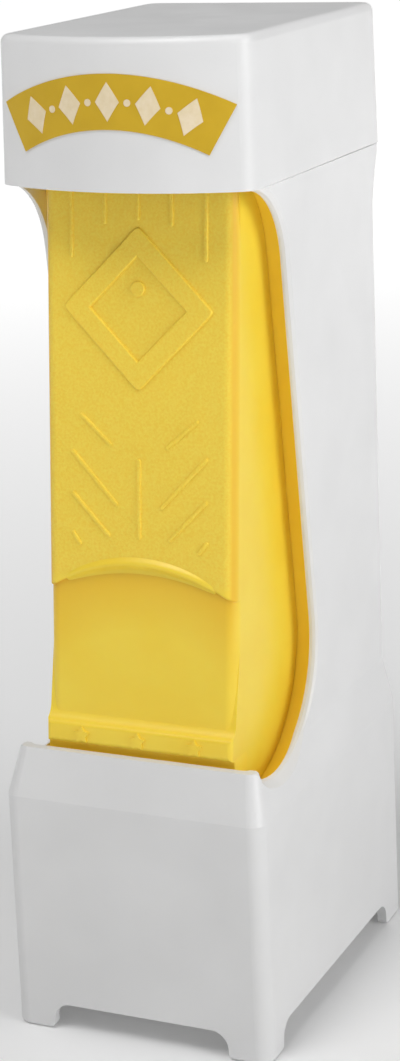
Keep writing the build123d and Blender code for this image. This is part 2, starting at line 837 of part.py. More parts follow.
for name, side in (("left", -1), ("right", 1)):
    front_angle, front_point = leg_start(leg_reach_front, 1)
    rear_angle, rear_point = leg_start(leg_reach_rear, -1)
    if side == 1:
        first_angle, first_point, first_end = front_angle, front_point, leg_reach_front
        last_angle, last_point, last_end = rear_angle, rear_point, leg_reach_rear
    else:
        first_angle, first_point, first_end = rear_angle, rear_point, leg_reach_rear
        last_angle, last_point, last_end = front_angle, front_point, leg_reach_front
    sweep_turns = spring_turns + ((side * (last_angle - first_angle)) % (2 * pi)) / (2 * pi)
    coil_plane = Plane(
        origin=(side * coil_start, pivot_y, pivot_z),
        x_dir=(0, cos(first_angle), sin(first_angle)),
        z_dir=(side, 0, 0),
    )
    coil_height = spring_pitch * sweep_turns
    coil = coil_plane * Helix(spring_pitch, coil_height, spring_radius)
    with BuildPart() as return_spring:
        with BuildSketch(Plane(origin=coil @ 0, z_dir=coil % 0)):
            Circle(spring_wire / 2)
        sweep(path=coil, is_frenet=True)
        for point, end_y, leg_x in (
            (first_point, first_end, coil_start),
            (last_point, last_end, coil_start + coil_height),
        ):
            finish = Vector(side * leg_x, end_y, spring_leg_z)
            along = (finish - Vector(side * leg_x, point[0], point[1])).normalized()
            start = Vector(side * leg_x, point[0], point[1]) - along * spring_leg_overlap
            with BuildSketch(Plane(origin=start, z_dir=along)):
                Circle(spring_wire / 2 - 0.05)
            extrude(amount=(finish - start).length)
    return_spring.part.label = f"return_spring_{name}"
    export_step(return_spring.part, f"parts/return_spring_{name}.step")
    with BuildPart() as pivot_spacer:
        with BuildSketch(Plane.YZ.offset(side * (inner_x - 0.3))):
            with Locations((pivot_y, pivot_z)):
                Circle(spacer_radius)
                Circle(pivot_radius + seat_fit, mode=Mode.SUBTRACT)
        spacer_end = coil_start + coil_height + spring_wire / 2 + 0.2
        extrude(amount=-side * (inner_x - 0.3 - spacer_end))
    pivot_spacer.part.label = f"pivot_spacer_{name}"
    export_step(pivot_spacer.part, f"parts/pivot_spacer_{name}.step")

# Butter chute with its flange, which also closes the pivot pin's seats
flange_half = wall_half(flange_bottom) - flange_gap
with BuildPart() as butter_chute:
    with BuildSketch(Plane.XY.offset(chute_bottom)):
        with Locations((0, chute_y)):
            RectangleRounded(chute_outside, chute_outside, chute_wall + 0.8)
    extrude(amount=flange_bottom + flange_thickness - chute_bottom)
    with BuildSketch(Plane.XY.offset(flange_bottom)):
        flange_rear = column_inner_rear - flange_gap
        flange_front = chute_front - 1.5
        with Locations((0, (flange_front + flange_rear) / 2)):
            RectangleRounded(2 * flange_half, flange_rear - flange_front, 2.2)
        finger_front = pivot_y - pivot_boss_radius
        finger_width = flange_half - lever_width / 2 - pivot_boss_gap
        for side in (-1, 1):
            with Locations((side * (flange_half - finger_width / 2), (finger_front + front_post_y) / 2)):
                Rectangle(finger_width, front_post_y - finger_front)
    extrude(amount=flange_thickness)
    flange_top = flange_bottom + flange_thickness
    mouth_outer = plan_outline(chute_outside / 2, chute_front, chute_rear, flange_top, chute_wall + 0.8)
    rim_outer = plan_outline(
        chute_outside / 2 + funnel_flare,
        chute_front - funnel_flare,
        chute_rear + funnel_rear_flare,
        flange_top + funnel_height,
        chute_wall + 0.8,
    )
    loft(sections=[mouth_outer.face(), rim_outer.face()], ruled=True)
    with BuildSketch(Plane.XY.offset(chute_bottom)):
        with Locations((0, chute_y)):
            RectangleRounded(chute_inside, chute_inside, 0.8)
    extrude(amount=flange_top - chute_bottom, mode=Mode.SUBTRACT)
    mouth_inner = plan_outline(
        chute_inside / 2, chute_front + chute_wall, chute_rear - chute_wall, flange_top, 0.8
    )
    rim_inner = plan_outline(
        chute_inside / 2 + funnel_flare,
        chute_front + chute_wall - funnel_flare,
        chute_rear - chute_wall + funnel_rear_flare,
        flange_top + funnel_height,
        0.8,
    )
    loft(sections=[mouth_inner.face(), rim_inner.face()], ruled=True, mode=Mode.SUBTRACT)
    with Locations(
        *[(side * post_x, y, flange_top) for side in (-1, 1) for y in (front_post_y, rear_post_y)]
    ):
        Hole(screw_radius + 0.15, flange_thickness)
butter_chute.part.label = "butter_chute"
export_step(butter_chute.part, "parts/butter_chute.step")

with BuildPart() as chute_screws:
    for side in (-1, 1):
        for post_y in (front_post_y, rear_post_y):
            with BuildSketch(Plane.XY.offset(flange_top)) as head:
                with Locations((side * post_x, post_y)):
                    Circle(screw_head_radius)
            extrude(amount=screw_head_height)
            with BuildSketch(Plane.XY.offset(flange_top)) as shank:
                with Locations((side * post_x, post_y)):
                    Circle(screw_radius - seat_fit)
            extrude(amount=-screw_length)
            with BuildSketch(Plane.XY.offset(flange_top + screw_head_height)) as drive:
                with Locations((side * post_x, post_y)):
                    Rectangle(2.4, 0.6)
                    Rectangle(0.6, 2.4)
            extrude(amount=-0.7, mode=Mode.SUBTRACT)
chute_screws.part.label = "chute_screws"
export_step(chute_screws.part, "parts/chute_screws.step")

# Carriage that carries the blade along the rails
block_rear = block_front + block_length
wing_inner = blade_width / 2 + 0.4
swing_radius = hypot(drive_pin_y - pivot_y, drive_pin_z - pivot_z)
pin_lowest = pivot_z - swing_radius
with BuildPart() as blade_carriage:
    with BuildSketch(Plane.XY.offset(blade_top)):
        with Locations((0, (block_front + block_rear) / 2)):
            Rectangle(block_width, block_length)
    extrude(amount=block_height)
    wing_front = base_inner_front + plate_gap + lug_inset + lug_length + wing_gap
    for side in (-1, 1):
        with BuildSketch(Plane.XZ.offset(-wing_front)) as wing:
            with Locations((side * (wing_inner + rail_x) / 2, rail_z)):
                Rectangle(rail_x - wing_inner, 2 * bush_radius)
            with Locations((side * rail_x, rail_z)):
                Circle(bush_radius)
            with Locations((side * (wing_inner + block_width / 2) / 2, blade_top)):
                Rectangle(block_width / 2 - wing_inner, 2 * bush_radius)
            with Locations((side * rail_x, rail_z)):
                Circle(rail_radius + rail_fit, mode=Mode.SUBTRACT)
        extrude(amount=-(block_rear - wing_front))
    # slot that the drive pin slides up and down in
    slot_low = pin_lowest - drive_pin_radius - slot_clearance
    slot_high = drive_pin_z + drive_pin_radius + slot_clearance
    with BuildSketch(Plane.YZ):
        with Locations((drive_pin_y, (slot_low + slot_high) / 2)):
            SlotOverall(slot_high - slot_low, 2 * (drive_pin_radius + slot_clearance), rotation=90)
    extrude(amount=far, both=True, mode=Mode.SUBTRACT)
    screw_y = block_rear - blade_screw_head_radius - 0.2
    with BuildSketch(Plane.XY.offset(blade_top)):
        for side in (-1, 1):
            with Locations((side * blade_screw_spacing / 2, screw_y)):
                Circle(blade_screw_radius)
    extrude(amount=blade_screw_length, mode=Mode.SUBTRACT)
blade_carriage.part.label = "blade_carriage"
export_step(blade_carriage.part, "parts/blade_carriage.step")

# Blade, with its edge just in front of the chute at rest
blade_edge_y = chute_front + chute_wall - 0.5
blade_bottom = blade_top - blade_thickness
with BuildPart() as cutting_blade:
    with BuildSketch(Plane.YZ.offset(-blade_width / 2)):
        with BuildLine():
            Polyline(
                (blade_edge_y - blade_length, blade_bottom),
                (blade_edge_y - blade_bevel, blade_bottom),
                (blade_edge_y, blade_top - 0.1),
                (blade_edge_y, blade_top),
                (blade_edge_y - blade_length, blade_top),
                close=True,
            )
        make_face()
    extrude(amount=blade_width)
    with BuildSketch(Plane.XY.offset(blade_bottom)):
        for side in (-1, 1):
            with Locations((side * blade_screw_spacing / 2, screw_y)):
                Circle(blade_screw_radius + 0.1)
    extrude(amount=blade_thickness, mode=Mode.SUBTRACT)
cutting_blade.part.label = "cutting_blade"
export_step(cutting_blade.part, "parts/cutting_blade.step")

with BuildPart() as blade_screws:
    for side in (-1, 1):
        with BuildSketch(Plane.XY.offset(blade_bottom)):
            with Locations((side * blade_screw_spacing / 2, screw_y)):
                Circle(blade_screw_head_radius)
        extrude(amount=-blade_screw_head_height)
        with BuildSketch(Plane.XY.offset(blade_bottom)):
            with Locations((side * blade_screw_spacing / 2, screw_y)):
                Circle(blade_screw_radius - seat_fit)
        extrude(amount=blade_screw_length)
        with BuildSketch(Plane.XY.offset(blade_bottom - blade_screw_head_height)):
            with Locations((side * blade_screw_spacing / 2, screw_y)):
                Rectangle(2.4, 0.5)
        extrude(amount=0.5, mode=Mode.SUBTRACT)
blade_screws.part.label = "blade_screws"
export_step(blade_screws.part, "parts/blade_screws.step")

# Drive pin through the lever's arms, held by a clip at each end
drive_half = lever_width / 2 + clip_gap + clip_thickness + 1.0
with BuildPart() as drive_pin:
    with BuildSketch(Plane.YZ):
        with Locations((drive_pin_y, drive_pin_z)):
            Circle(drive_pin_radius)
    extrude(amount=drive_half, both=True)
    for side in (-1, 1):
        with BuildSketch(Plane.YZ.offset(side * (lever_width / 2 + clip_gap))):
            with Locations((drive_pin_y, drive_pin_z)):
                Circle(drive_pin_radius)
                Circle(drive_pin_radius - 0.3, mode=Mode.SUBTRACT)
        extrude(amount=side * clip_thickness, mode=Mode.SUBTRACT)
drive_pin.part.label = "drive_pin"
export_step(drive_pin.part, "parts/drive_pin.step")

with BuildPart() as drive_pin_clips:
    for side in (-1, 1):
        with BuildSketch(Plane.YZ.offset(side * (lever_width / 2 + clip_gap))):
            with Locations((drive_pin_y, drive_pin_z)):
                Circle(clip_radius)
                Circle(drive_pin_radius - 0.3 + seat_fit, mode=Mode.SUBTRACT)
            with Locations((drive_pin_y, drive_pin_z + clip_radius)):
                Rectangle(1.6, 2 * clip_radius, mode=Mode.SUBTRACT)
        extrude(amount=side * clip_thickness)
drive_pin_clips.part.label = "drive_pin_clips"
export_step(drive_pin_clips.part, "parts/drive_pin_clips.step")

# Base plate with its outlet, retaining ledges and rail lugs
plate_half = base_width / 2 - base_wall - plate_gap
plate_front = base_inner_front + plate_gap
plate_back = base_inner_rear - plate_gap
collar_top = blade_bottom - collar_gap
ledge_top = blade_bottom - portion_height
with BuildPart() as base_plate:
    with BuildSketch(Plane.XY.offset(plate_bottom)):
        with Locations((0, (plate_front + plate_back) / 2)):
            RectangleRounded(2 * plate_half, plate_back - plate_front, inner_corner_radius)
    extrude(amount=plate_thickness)
    with BuildSketch(Plane.XY.offset(plate_bottom)):
        with Locations((0, chute_y)):
            RectangleRounded(chute_outside, chute_outside, chute_wall + 0.8)
    extrude(amount=collar_top - plate_bottom)
    with BuildSketch(Plane.XY.offset(plate_bottom)):
        with Locations((0, chute_y)):
            RectangleRounded(chute_inside, chute_inside, 0.8)
    extrude(amount=collar_top - plate_bottom, mode=Mode.SUBTRACT)
    # ledges at both sides that the butter stands on
    for side in (-1, 1):
        with BuildSketch(Plane.XY.offset(ledge_top)):
            with Locations((side * (chute_inside / 2 - ledge_width / 2 + 0.2), chute_y)):
                Rectangle(ledge_width + 0.4, chute_inside - 6)
        extrude(amount=-ledge_thickness)
    # lugs that hold the rails' ends
    for side in (-1, 1):
        for lug_y in (plate_front + lug_inset, plate_back - lug_inset - lug_length):
            with BuildSketch(Plane.XY.offset(plate_bottom + plate_thickness / 2)):
                with Locations((side * rail_x, lug_y + lug_length / 2)):
                    Rectangle(lug_width, lug_length)
            extrude(amount=rail_z + bush_radius - plate_bottom - plate_thickness / 2)
        with BuildSketch(Plane.XZ.offset(-plate_front)):
            with Locations((side * rail_x, rail_z)):
                Circle(rail_radius + seat_fit)
        extrude(amount=-(plate_back - plate_front), mode=Mode.SUBTRACT)
    # countersinks of the four screws
    for side in (-1, 1):
        for boss_y in (plate_boss_front_y, plate_boss_rear_y):
            with BuildSketch(Plane.XY.offset(plate_bottom)):
                with Locations((side * plate_boss_x, boss_y)):
                    Circle(screw_radius + 0.15)
            extrude(amount=plate_thickness, mode=Mode.SUBTRACT)
            with BuildSketch(Plane.XY.offset(plate_bottom)):
                with Locations((side * plate_boss_x, boss_y)):
                    Circle(screw_head_radius + 0.1)
            extrude(amount=screw_head_height, mode=Mode.SUBTRACT)
base_plate.part.label = "base_plate"
export_step(base_plate.part, "parts/base_plate.step")

with BuildPart() as base_plate_screws:
    head_top = plate_bottom + screw_head_height
    for side in (-1, 1):
        for boss_y in (plate_boss_front_y, plate_boss_rear_y):
            with BuildSketch(Plane.XY.offset(head_top)):
                with Locations((side * plate_boss_x, boss_y)):
                    Circle(screw_head_radius)
            extrude(amount=-screw_head_height + 0.1)
            with BuildSketch(Plane.XY.offset(head_top)):
                with Locations((side * plate_boss_x, boss_y)):
                    Circle(screw_radius - seat_fit)
            extrude(amount=plate_screw_length - 0.8)
            with BuildSketch(Plane.XY.offset(plate_bottom + 0.1)):
                with Locations((side * plate_boss_x, boss_y)):
                    Rectangle(2.4, 0.6)
                    Rectangle(0.6, 2.4)
            extrude(amount=0.6, mode=Mode.SUBTRACT)
base_plate_screws.part.label = "base_plate_screws"
export_step(base_plate_screws.part, "parts/base_plate_screws.step")

for name, side in (("left", -1), ("right", 1)):
    with BuildPart() as guide_rail:
        rail_start = plate_front + lug_inset + rail_recess
        with BuildSketch(Plane.XZ.offset(-rail_start)):
            with Locations((side * rail_x, rail_z)):
                Circle(rail_radius)
        extrude(amount=-(plate_back - lug_inset - rail_recess - rail_start))
        chamfer(guide_rail.edges(), 0.3)
    guide_rail.part.label = f"guide_rail_{name}"
    export_step(guide_rail.part, f"parts/guide_rail_{name}.step")

# Rubber bumpers on the base's front wall, where the lever's arms come to rest
arm_low_y = drive_pin_y - arm_end_radius
arm_share = (lip_bottom - 1 - bumper_z) / (lip_bottom - 1 - drive_pin_z)
arm_front_y = arm_top_y + (arm_low_y - arm_top_y) * arm_share
with BuildPart() as lever_bumpers:
    for side in (-1, 1):
        with BuildSketch(Plane.XZ.offset(-base_inner_front)):
            with Locations((side * (inner_x + lever_wall / 2), bumper_z)):
                Circle(bumper_radius)
        extrude(amount=-(arm_front_y - 0.15 - bumper_gap - base_inner_front))
lever_bumpers.part.label = "lever_bumpers"
export_step(lever_bumpers.part, "parts/lever_bumpers.step")

squeeze_angle = atan2(blade_stroke + drive_pin_y - pivot_y, sqrt(swing_radius**2 - (blade_stroke + drive_pin_y - pivot_y) ** 2))
squeeze_angle -= atan2(drive_pin_y - pivot_y, pivot_z - drive_pin_z)
print("lever squeeze in degrees", round(degrees(squeeze_angle), 3))
print("blade travel per radian in metres", round(blade_stroke / squeeze_angle / 1000, 5))
print("lowest height of the drive pin", round(pin_lowest, 2))
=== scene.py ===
import json
import math

import bmesh
import bpy
from mathutils import Matrix, Vector
from mathutils.bvhtree import BVHTree


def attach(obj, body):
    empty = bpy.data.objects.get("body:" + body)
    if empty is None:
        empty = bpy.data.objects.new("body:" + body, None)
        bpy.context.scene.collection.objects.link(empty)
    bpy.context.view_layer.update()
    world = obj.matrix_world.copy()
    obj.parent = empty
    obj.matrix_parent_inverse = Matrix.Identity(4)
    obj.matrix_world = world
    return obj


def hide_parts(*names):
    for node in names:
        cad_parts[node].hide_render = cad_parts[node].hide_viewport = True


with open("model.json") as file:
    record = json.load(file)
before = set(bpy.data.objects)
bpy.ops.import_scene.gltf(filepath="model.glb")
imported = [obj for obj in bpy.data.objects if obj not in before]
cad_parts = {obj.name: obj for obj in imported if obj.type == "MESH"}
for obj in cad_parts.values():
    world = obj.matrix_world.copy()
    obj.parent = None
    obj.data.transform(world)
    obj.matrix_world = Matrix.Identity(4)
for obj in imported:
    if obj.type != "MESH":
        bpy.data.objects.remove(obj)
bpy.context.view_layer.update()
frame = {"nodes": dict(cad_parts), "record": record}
nodes = frame["nodes"]
scene = bpy.context.scene
MM = 0.001

# Places on the CAD model that the finishes and the added pieces follow.
# The lever's front face leans back: its y is FACE_START + FACE_SLOPE * z
FACE_LOW = Vector((0, -40.9 * MM, 73.5 * MM))
FACE_HIGH = Vector((0, -27.7 * MM, 206.15 * MM))
FACE_SLOPE = (FACE_HIGH.y - FACE_LOW.y) / (FACE_HIGH.z - FACE_LOW.z)
FACE_START = FACE_LOW.y - FACE_SLOPE * FACE_LOW.z
LEVER_HALF = 24.2 * MM
# the arch above the lever's scoop
ARCH_CROWN = 117.8 * MM
ARCH_DROP = 7.4 * MM
ARCH_RADIUS = (LEVER_HALF**2 + ARCH_DROP**2) / (2 * ARCH_DROP)
# the speckled panel starts at this height
PANEL_START = 113.0 * MM
SEAM_HEIGHT = 206.05 * MM
# the label's mid arc
LABEL_RADIUS = 54.1 * MM
LABEL_CENTRE_Z = 172.0 * MM
# the lever's pivot and the return springs on it
PIVOT_Y, PIVOT_Z = -8.0 * MM, 200.0 * MM
COIL_RADIUS = 3.4 * MM
WIRE_RADIUS = 0.6 * MM

# Camera, from a fit to the photo's corners and creases
AZIMUTH, ELEVATION, ROLL = (math.radians(a) for a in (24.52, 16.41, -2.35))
TARGET_SIDE, TARGET_HEIGHT, DISTANCE = -0.63 * MM, 116.28 * MM, 609.6 * MM
FOCAL_PX, PHOTO_HEIGHT, CENTRE_Y = 2472.44, 1061, 530.0
SENSOR = 36.0

ahead = Vector(
    (
        -math.sin(AZIMUTH) * math.cos(ELEVATION),
        math.cos(AZIMUTH) * math.cos(ELEVATION),
        -math.sin(ELEVATION),
    )
)
level = Vector((math.cos(AZIMUTH), math.sin(AZIMUTH), 0))
upright = level.cross(ahead)
cam_x = level * math.cos(ROLL) + upright * math.sin(ROLL)
cam_y = -level * math.sin(ROLL) + upright * math.cos(ROLL)
place = Vector((0, 0, TARGET_HEIGHT)) + cam_x * TARGET_SIDE - ahead * DISTANCE
camera_data = bpy.data.cameras.new("photo_camera")
camera_data.sensor_fit = "VERTICAL"
camera_data.sensor_height = SENSOR
camera_data.lens = FOCAL_PX * SENSOR / PHOTO_HEIGHT
camera_data.shift_y = (CENTRE_Y - PHOTO_HEIGHT / 2) / PHOTO_HEIGHT
camera_data.clip_start = 0.01
camera = bpy.data.objects.new("photo_camera", camera_data)
scene.collection.objects.link(camera)
camera.matrix_world = Matrix(
    (
        (cam_x.x, cam_y.x, -ahead.x, place.x),
        (cam_x.y, cam_y.y, -ahead.y, place.y),
        (cam_x.z, cam_y.z, -ahead.z, place.z),
        (0, 0, 0, 1),
    )
)
scene.camera = camera
scene.view_settings.view_transform = "Standard"


class Shader:
    """A Principled material and short calls for its nodes."""

    def __init__(self, name, **sockets):
        self.mat = bpy.data.materials.new(name)
        self.mat.use_nodes = True
        self.tree = self.mat.node_tree
        self.main = self.tree.nodes["Principled BSDF"]
        self.coords = self.tree.nodes.new("ShaderNodeTexCoord")
        for socket, value in sockets.items():
            self.main.inputs[socket.replace("_", " ")].default_value = value

    def link(self, source, target):
        self.tree.links.new(source, target)

    def node(self, kind, **settings):
        n = self.tree.nodes.new(kind)
        for key, value in settings.items():
            setattr(n, key, value)
        return n

    def noise(self, scale, detail=3.0, rough=0.5, stretch=None):
        n = self.node("ShaderNodeTexNoise")
        n.inputs["Scale"].default_value = scale
        n.inputs["Detail"].default_value = detail
        n.inputs["Roughness"].default_value = rough
        if stretch is None:
            self.link(self.coords.outputs["Object"], n.inputs["Vector"])
        else:
            mapping = self.node("ShaderNodeMapping")
            mapping.inputs["Scale"].default_value = stretch
            self.link(self.coords.outputs["Object"], mapping.inputs["Vector"])
            self.link(mapping.outputs["Vector"], n.inputs["Vector"])
        return n.outputs["Fac"]

    def math(self, operation, a, b=0.0, clamp=False):
        n = self.node("ShaderNodeMath", operation=operation, use_clamp=clamp)
        for socket, value in zip(n.inputs, (a, b)):
            if isinstance(value, (int, float)):
                socket.default_value = value
            else:
                self.link(value, socket)
        return n.outputs["Value"]

    def span(self, value, low, high, to_low=0.0, to_high=1.0):
        n = self.node("ShaderNodeMapRange")
        for name, v in (("From Min", low), ("From Max", high), ("To Min", to_low), ("To Max", to_high)):
            n.inputs[name].default_value = v
        self.link(value, n.inputs["Value"])
        return n.outputs["Result"]

    def drift(self, noise, to_low=0.0, to_high=1.0, edge=0.3):
        """A noise's middle range, spread over two values."""
        return self.span(noise, edge, 1 - edge, to_low, to_high)

    def mix(self, factor, a, b):
        n = self.node("ShaderNodeMix", data_type="RGBA")
        for socket, value in ((n.inputs[0], factor), (n.inputs[6], a), (n.inputs[7], b)):
            if isinstance(value, (int, float)):
                socket.default_value = value
            elif isinstance(value, tuple):
                socket.default_value = (*value, 1.0)
            else:
                self.link(value, socket)
        return n.outputs[2]

    def xyz(self):
        n = self.node("ShaderNodeSeparateXYZ")
        self.link(self.coords.outputs["Object"], n.inputs[0])
        return n.outputs

    def reach(self):
        """Distance from the object's own origin."""
        n = self.node("ShaderNodeVectorMath", operation="LENGTH")
        self.link(self.coords.outputs["Object"], n.inputs[0])
        return n.outputs["Value"]

    def reach_from(self, centre):
        """Distance in the plane of X and Z from a point."""
        flat = self.node("ShaderNodeVectorMath", operation="MULTIPLY")
        self.link(self.coords.outputs["Object"], flat.inputs[0])
        flat.inputs[1].default_value = (1, 0, 1)
        n = self.node("ShaderNodeVectorMath", operation="DISTANCE")
        self.link(flat.outputs[0], n.inputs[0])
        n.inputs[1].default_value = centre
        return n.outputs["Value"]

    def colour(self, value):
        self.link(value, self.main.inputs["Base Color"])

    def roughness(self, value):
        self.link(value, self.main.inputs["Roughness"])

    def glow(self, strength, colour):
        self.link(strength, self.main.inputs["Emission Strength"])
        self.main.inputs["Emission Color"].default_value = (*colour, 1)

    def bump(self, height, strength, distance, after=None):
        n = self.node("ShaderNodeBump")
        if isinstance(strength, (int, float)):
            n.inputs["Strength"].default_value = strength
        else:
            self.link(strength, n.inputs["Strength"])
        n.inputs["Distance"].default_value = distance
        self.link(height, n.inputs["Height"])
        if after is not None:
            self.link(after, n.inputs["Normal"])
        self.link(n.outputs["Normal"], self.main.inputs["Normal"])
        return n.outputs["Normal"]


def moulded(name, dark, light, rough, **sockets):
    """Moulded plastic: slow waves in tone and gloss, with a fine skin."""
    s = Shader(name, **sockets)
    s.colour(s.mix(s.drift(s.noise(38, 2), edge=0.35), dark, light))
    s.roughness(s.drift(s.noise(140, 4), rough - 0.04, rough + 0.05))
    swell = s.bump(s.noise(45, 1), 0.06, 0.0005)
    s.bump(s.noise(2600, 2), 0.10, 0.00003, swell)
    return s


white_shell = moulded("white_shell", (0.765, 0.765, 0.765), (0.80, 0.80, 0.80), 0.36, IOR=1.48)
# painted light along the lid's seam: a faint white glow lightens the seam's shaded groove, most at the front, where
# the seam is faintest
_, along_depth, height = white_shell.xyz()
from_seam = white_shell.math("ABSOLUTE", white_shell.math("SUBTRACT", height, SEAM_HEIGHT))
seam_painted_light = white_shell.span(from_seam, 0.11 * MM, 0.13 * MM, 1, 0)
seam_light_by_depth = white_shell.span(along_depth, -30 * MM, 25 * MM, 0.19, 0.05)
white_shell.glow(white_shell.math("MULTIPLY", seam_painted_light, seam_light_by_depth), (1, 1, 1))
white_moulding = moulded("white_moulding", (0.74, 0.74, 0.735), (0.78, 0.78, 0.775), 0.45)
grey_moulding = moulded("grey_moulding", (0.50, 0.50, 0.49), (0.56, 0.56, 0.55), 0.5)


def yellow_plastic(name):
    """Translucent yellow moulding and its even colour."""
    s = Shader(name, IOR=1.45, Subsurface_Weight=0.12, Subsurface_Scale=0.003)
    s.main.inputs["Subsurface Radius"].default_value = (1.0, 0.6, 0.2)
    return s, s.mix(s.drift(s.noise(60, 3), edge=0.35), (0.975, 0.690, 0.050), (0.985, 0.725, 0.064))


def lever_plastic(name):
    """Yellow with a fine speckle on the panel, with painted shade under the arch and a painted orange glow on the
    side flanges and in the hollow under the lip.
    """
    s, plain = yellow_plastic(name)
    x, y, z = s.xyz()
    face_y = s.math("ADD", s.math("MULTIPLY", z, FACE_SLOPE), FACE_START)
    behind_face = s.math("SUBTRACT", y, face_y)

    at_face = s.span(behind_face, 0.4 * MM, 1.0 * MM, 1, 0)
    panel = s.math("MULTIPLY", at_face, s.span(z, PANEL_START, PANEL_START + 2 * MM), clamp=True)
    grain = s.noise(1700, 4, 0.65)
    speckled = s.mix(s.drift(grain, edge=0.36), (0.955, 0.645, 0.055), (0.985, 0.735, 0.084))

    # painted shade: the scoop just below the arch is mixed to a deeper orange, strongest at the arch and fading out
    # over 16 mm below it
    inside_arch = s.math("SUBTRACT", ARCH_RADIUS, s.reach_from((0, 0, ARCH_CROWN - ARCH_RADIUS)))
    in_scoop = s.math("MULTIPLY", s.span(inside_arch, 0, 16 * MM, 1, 0), s.span(behind_face, 0.3 * MM, 0.8 * MM))
    painted_shade_under_arch = s.math("MULTIPLY", in_scoop, s.span(behind_face, 1.2 * MM, 3.0 * MM, 1, 0), clamp=True)
    s.colour(s.mix(painted_shade_under_arch, s.mix(panel, plain, speckled), (0.88, 0.530, 0.022)))

    # painted glow: the flange beyond the lever's sides and the hollow under the lip give off a faint orange light
    painted_brim_glow = s.span(s.math("ABSOLUTE", x), LEVER_HALF + 0.1 * MM, LEVER_HALF + 0.4 * MM, 0, 0.13)
    under_lip = s.span(z, FACE_LOW.z - 0.3 * MM, FACE_LOW.z + 0.2 * MM, 0.10, 0)
    painted_recess_glow = s.math("MULTIPLY", under_lip, s.span(behind_face, 4 * MM, 8 * MM, 1, 0))
    s.glow(s.math("MAXIMUM", painted_brim_glow, painted_recess_glow), (1.0, 0.48, 0.02))

    skin = s.bump(grain, s.span(panel, 0, 1, 0.08, 0.50), 0.22 * MM)
    s.bump(s.noise(55, 1), 0.10, 0.6 * MM, skin)
    s.roughness(s.span(panel, 0, 1, 0.36, 0.50))
    return s


def bead_plastic(name):
    """Yellow without the speckle."""
    s, plain = yellow_plastic(name)
    s.colour(plain)
    s.bump(s.noise(1500, 3), 0.08, 0.10 * MM)
    s.roughness(s.drift(s.noise(140, 4), 0.32, 0.42))
    return s


yellow_shell = lever_plastic("yellow_shell")
yellow_smooth = bead_plastic("yellow_smooth")

label_film = Shader("label_film", IOR=1.45)
label_film.colour(
    label_film.mix(label_film.drift(label_film.noise(120, 3)), (0.60, 0.375, 0.008), (0.66, 0.42, 0.012))
)
label_film.roughness(label_film.drift(label_film.noise(900, 2), 0.42, 0.52))
label_film.bump(label_film.noise(1200, 2), 0.08, 0.00004)

cream_print = Shader("cream_print", IOR=1.45)
cream_print.colour(
    cream_print.mix(cream_print.drift(cream_print.noise(700, 4)), (0.80, 0.66, 0.42), (0.86, 0.73, 0.52))
)
cream_print.roughness(cream_print.drift(cream_print.noise(900, 2), 0.45, 0.55))

steel = Shader("steel", Metallic=1.0)
# brushed along X
steel.colour(steel.mix(steel.noise(900, 3, 0.6, (1, 12, 12)), (0.56, 0.56, 0.57), (0.70, 0.70, 0.70)))
steel.roughness(steel.drift(steel.noise(1500, 3, 0.6, (1, 12, 12)), 0.22, 0.38))
steel.bump(steel.noise(2200, 3, 0.6, (1, 14, 14)), 0.15, 0.00003)

rubber = Shader("rubber", IOR=1.5)
rubber.colour(rubber.mix(rubber.noise(1200, 4), (0.018, 0.018, 0.018), (0.04, 0.04, 0.04)))
rubber.roughness(rubber.drift(rubber.noise(2000, 3), 0.7, 0.9))
rubber.bump(rubber.noise(2500, 4), 0.3, 0.0001)

finishes = {
    "white_shell": white_shell,
    "yellow_shell": yellow_shell,
    "label_film": label_film,
    "white_moulding": white_moulding,
    "grey_moulding": grey_moulding,
    "steel": steel,
    "rubber": rubber,
}
for part in frame["record"]["subparts"]:
    node = nodes[part["node"]]
    for slot in node.material_slots:
        slot.link = "OBJECT"
        slot.material = finishes[part["material_slot"]].mat


def piece(name, mesh, shader, body):
    """A finished mesh as a shown piece that rides on a body."""
    mesh.materials.append(shader.mat)
    obj = bpy.data.objects.new(name, mesh)
    scene.collection.objects.link(obj)
    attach(obj, body)
    return obj


def mesh_from(bm, name, smooth=False):
    """Turns a bmesh into a mesh and frees it."""
    for face in bm.faces:
        face.smooth = smooth
    mesh = bpy.data.meshes.new(name)
    bm.to_mesh(mesh)
    bm.free()
    return mesh


def join_rings(bm, rings):
    """Quads between each ring of points and the next, and a cap at either end."""
    for a, b in zip(rings, rings[1:]):
        for i in range(len(a)):
            j = (i + 1) % len(a)
            bm.faces.new((a[i], a[j], b[j], b[i]))
    bm.faces.new(rings[0])
    bm.faces.new(reversed(rings[-1]))
    bmesh.ops.recalc_face_normals(bm, faces=bm.faces)


def surface_tree(node):
    """Search tree of a CAD node's triangles."""
    mesh = nodes[node].data
    return BVHTree.FromPolygons([v.co.copy() for v in mesh.vertices], [tuple(p.vertices) for p in mesh.polygons])


# Label: plain cream lozenges and dots along its arc stand where the printed word was
PRINT_RISE = 0.06 * MM
label_tree = surface_tree("lid_label")


def on_label(across, along):
    """Point on the label's front, from the height above its mid arc and the angle along it."""
    reach = LABEL_RADIUS + across
    at_x = reach * math.sin(along)
    at_z = LABEL_CENTRE_Z + reach * math.cos(along)
    hit, _, _, _ = label_tree.ray_cast(Vector((at_x, -0.2, at_z)), Vector((0, 1, 0)))
    return hit + Vector((0, -PRINT_RISE, 0))


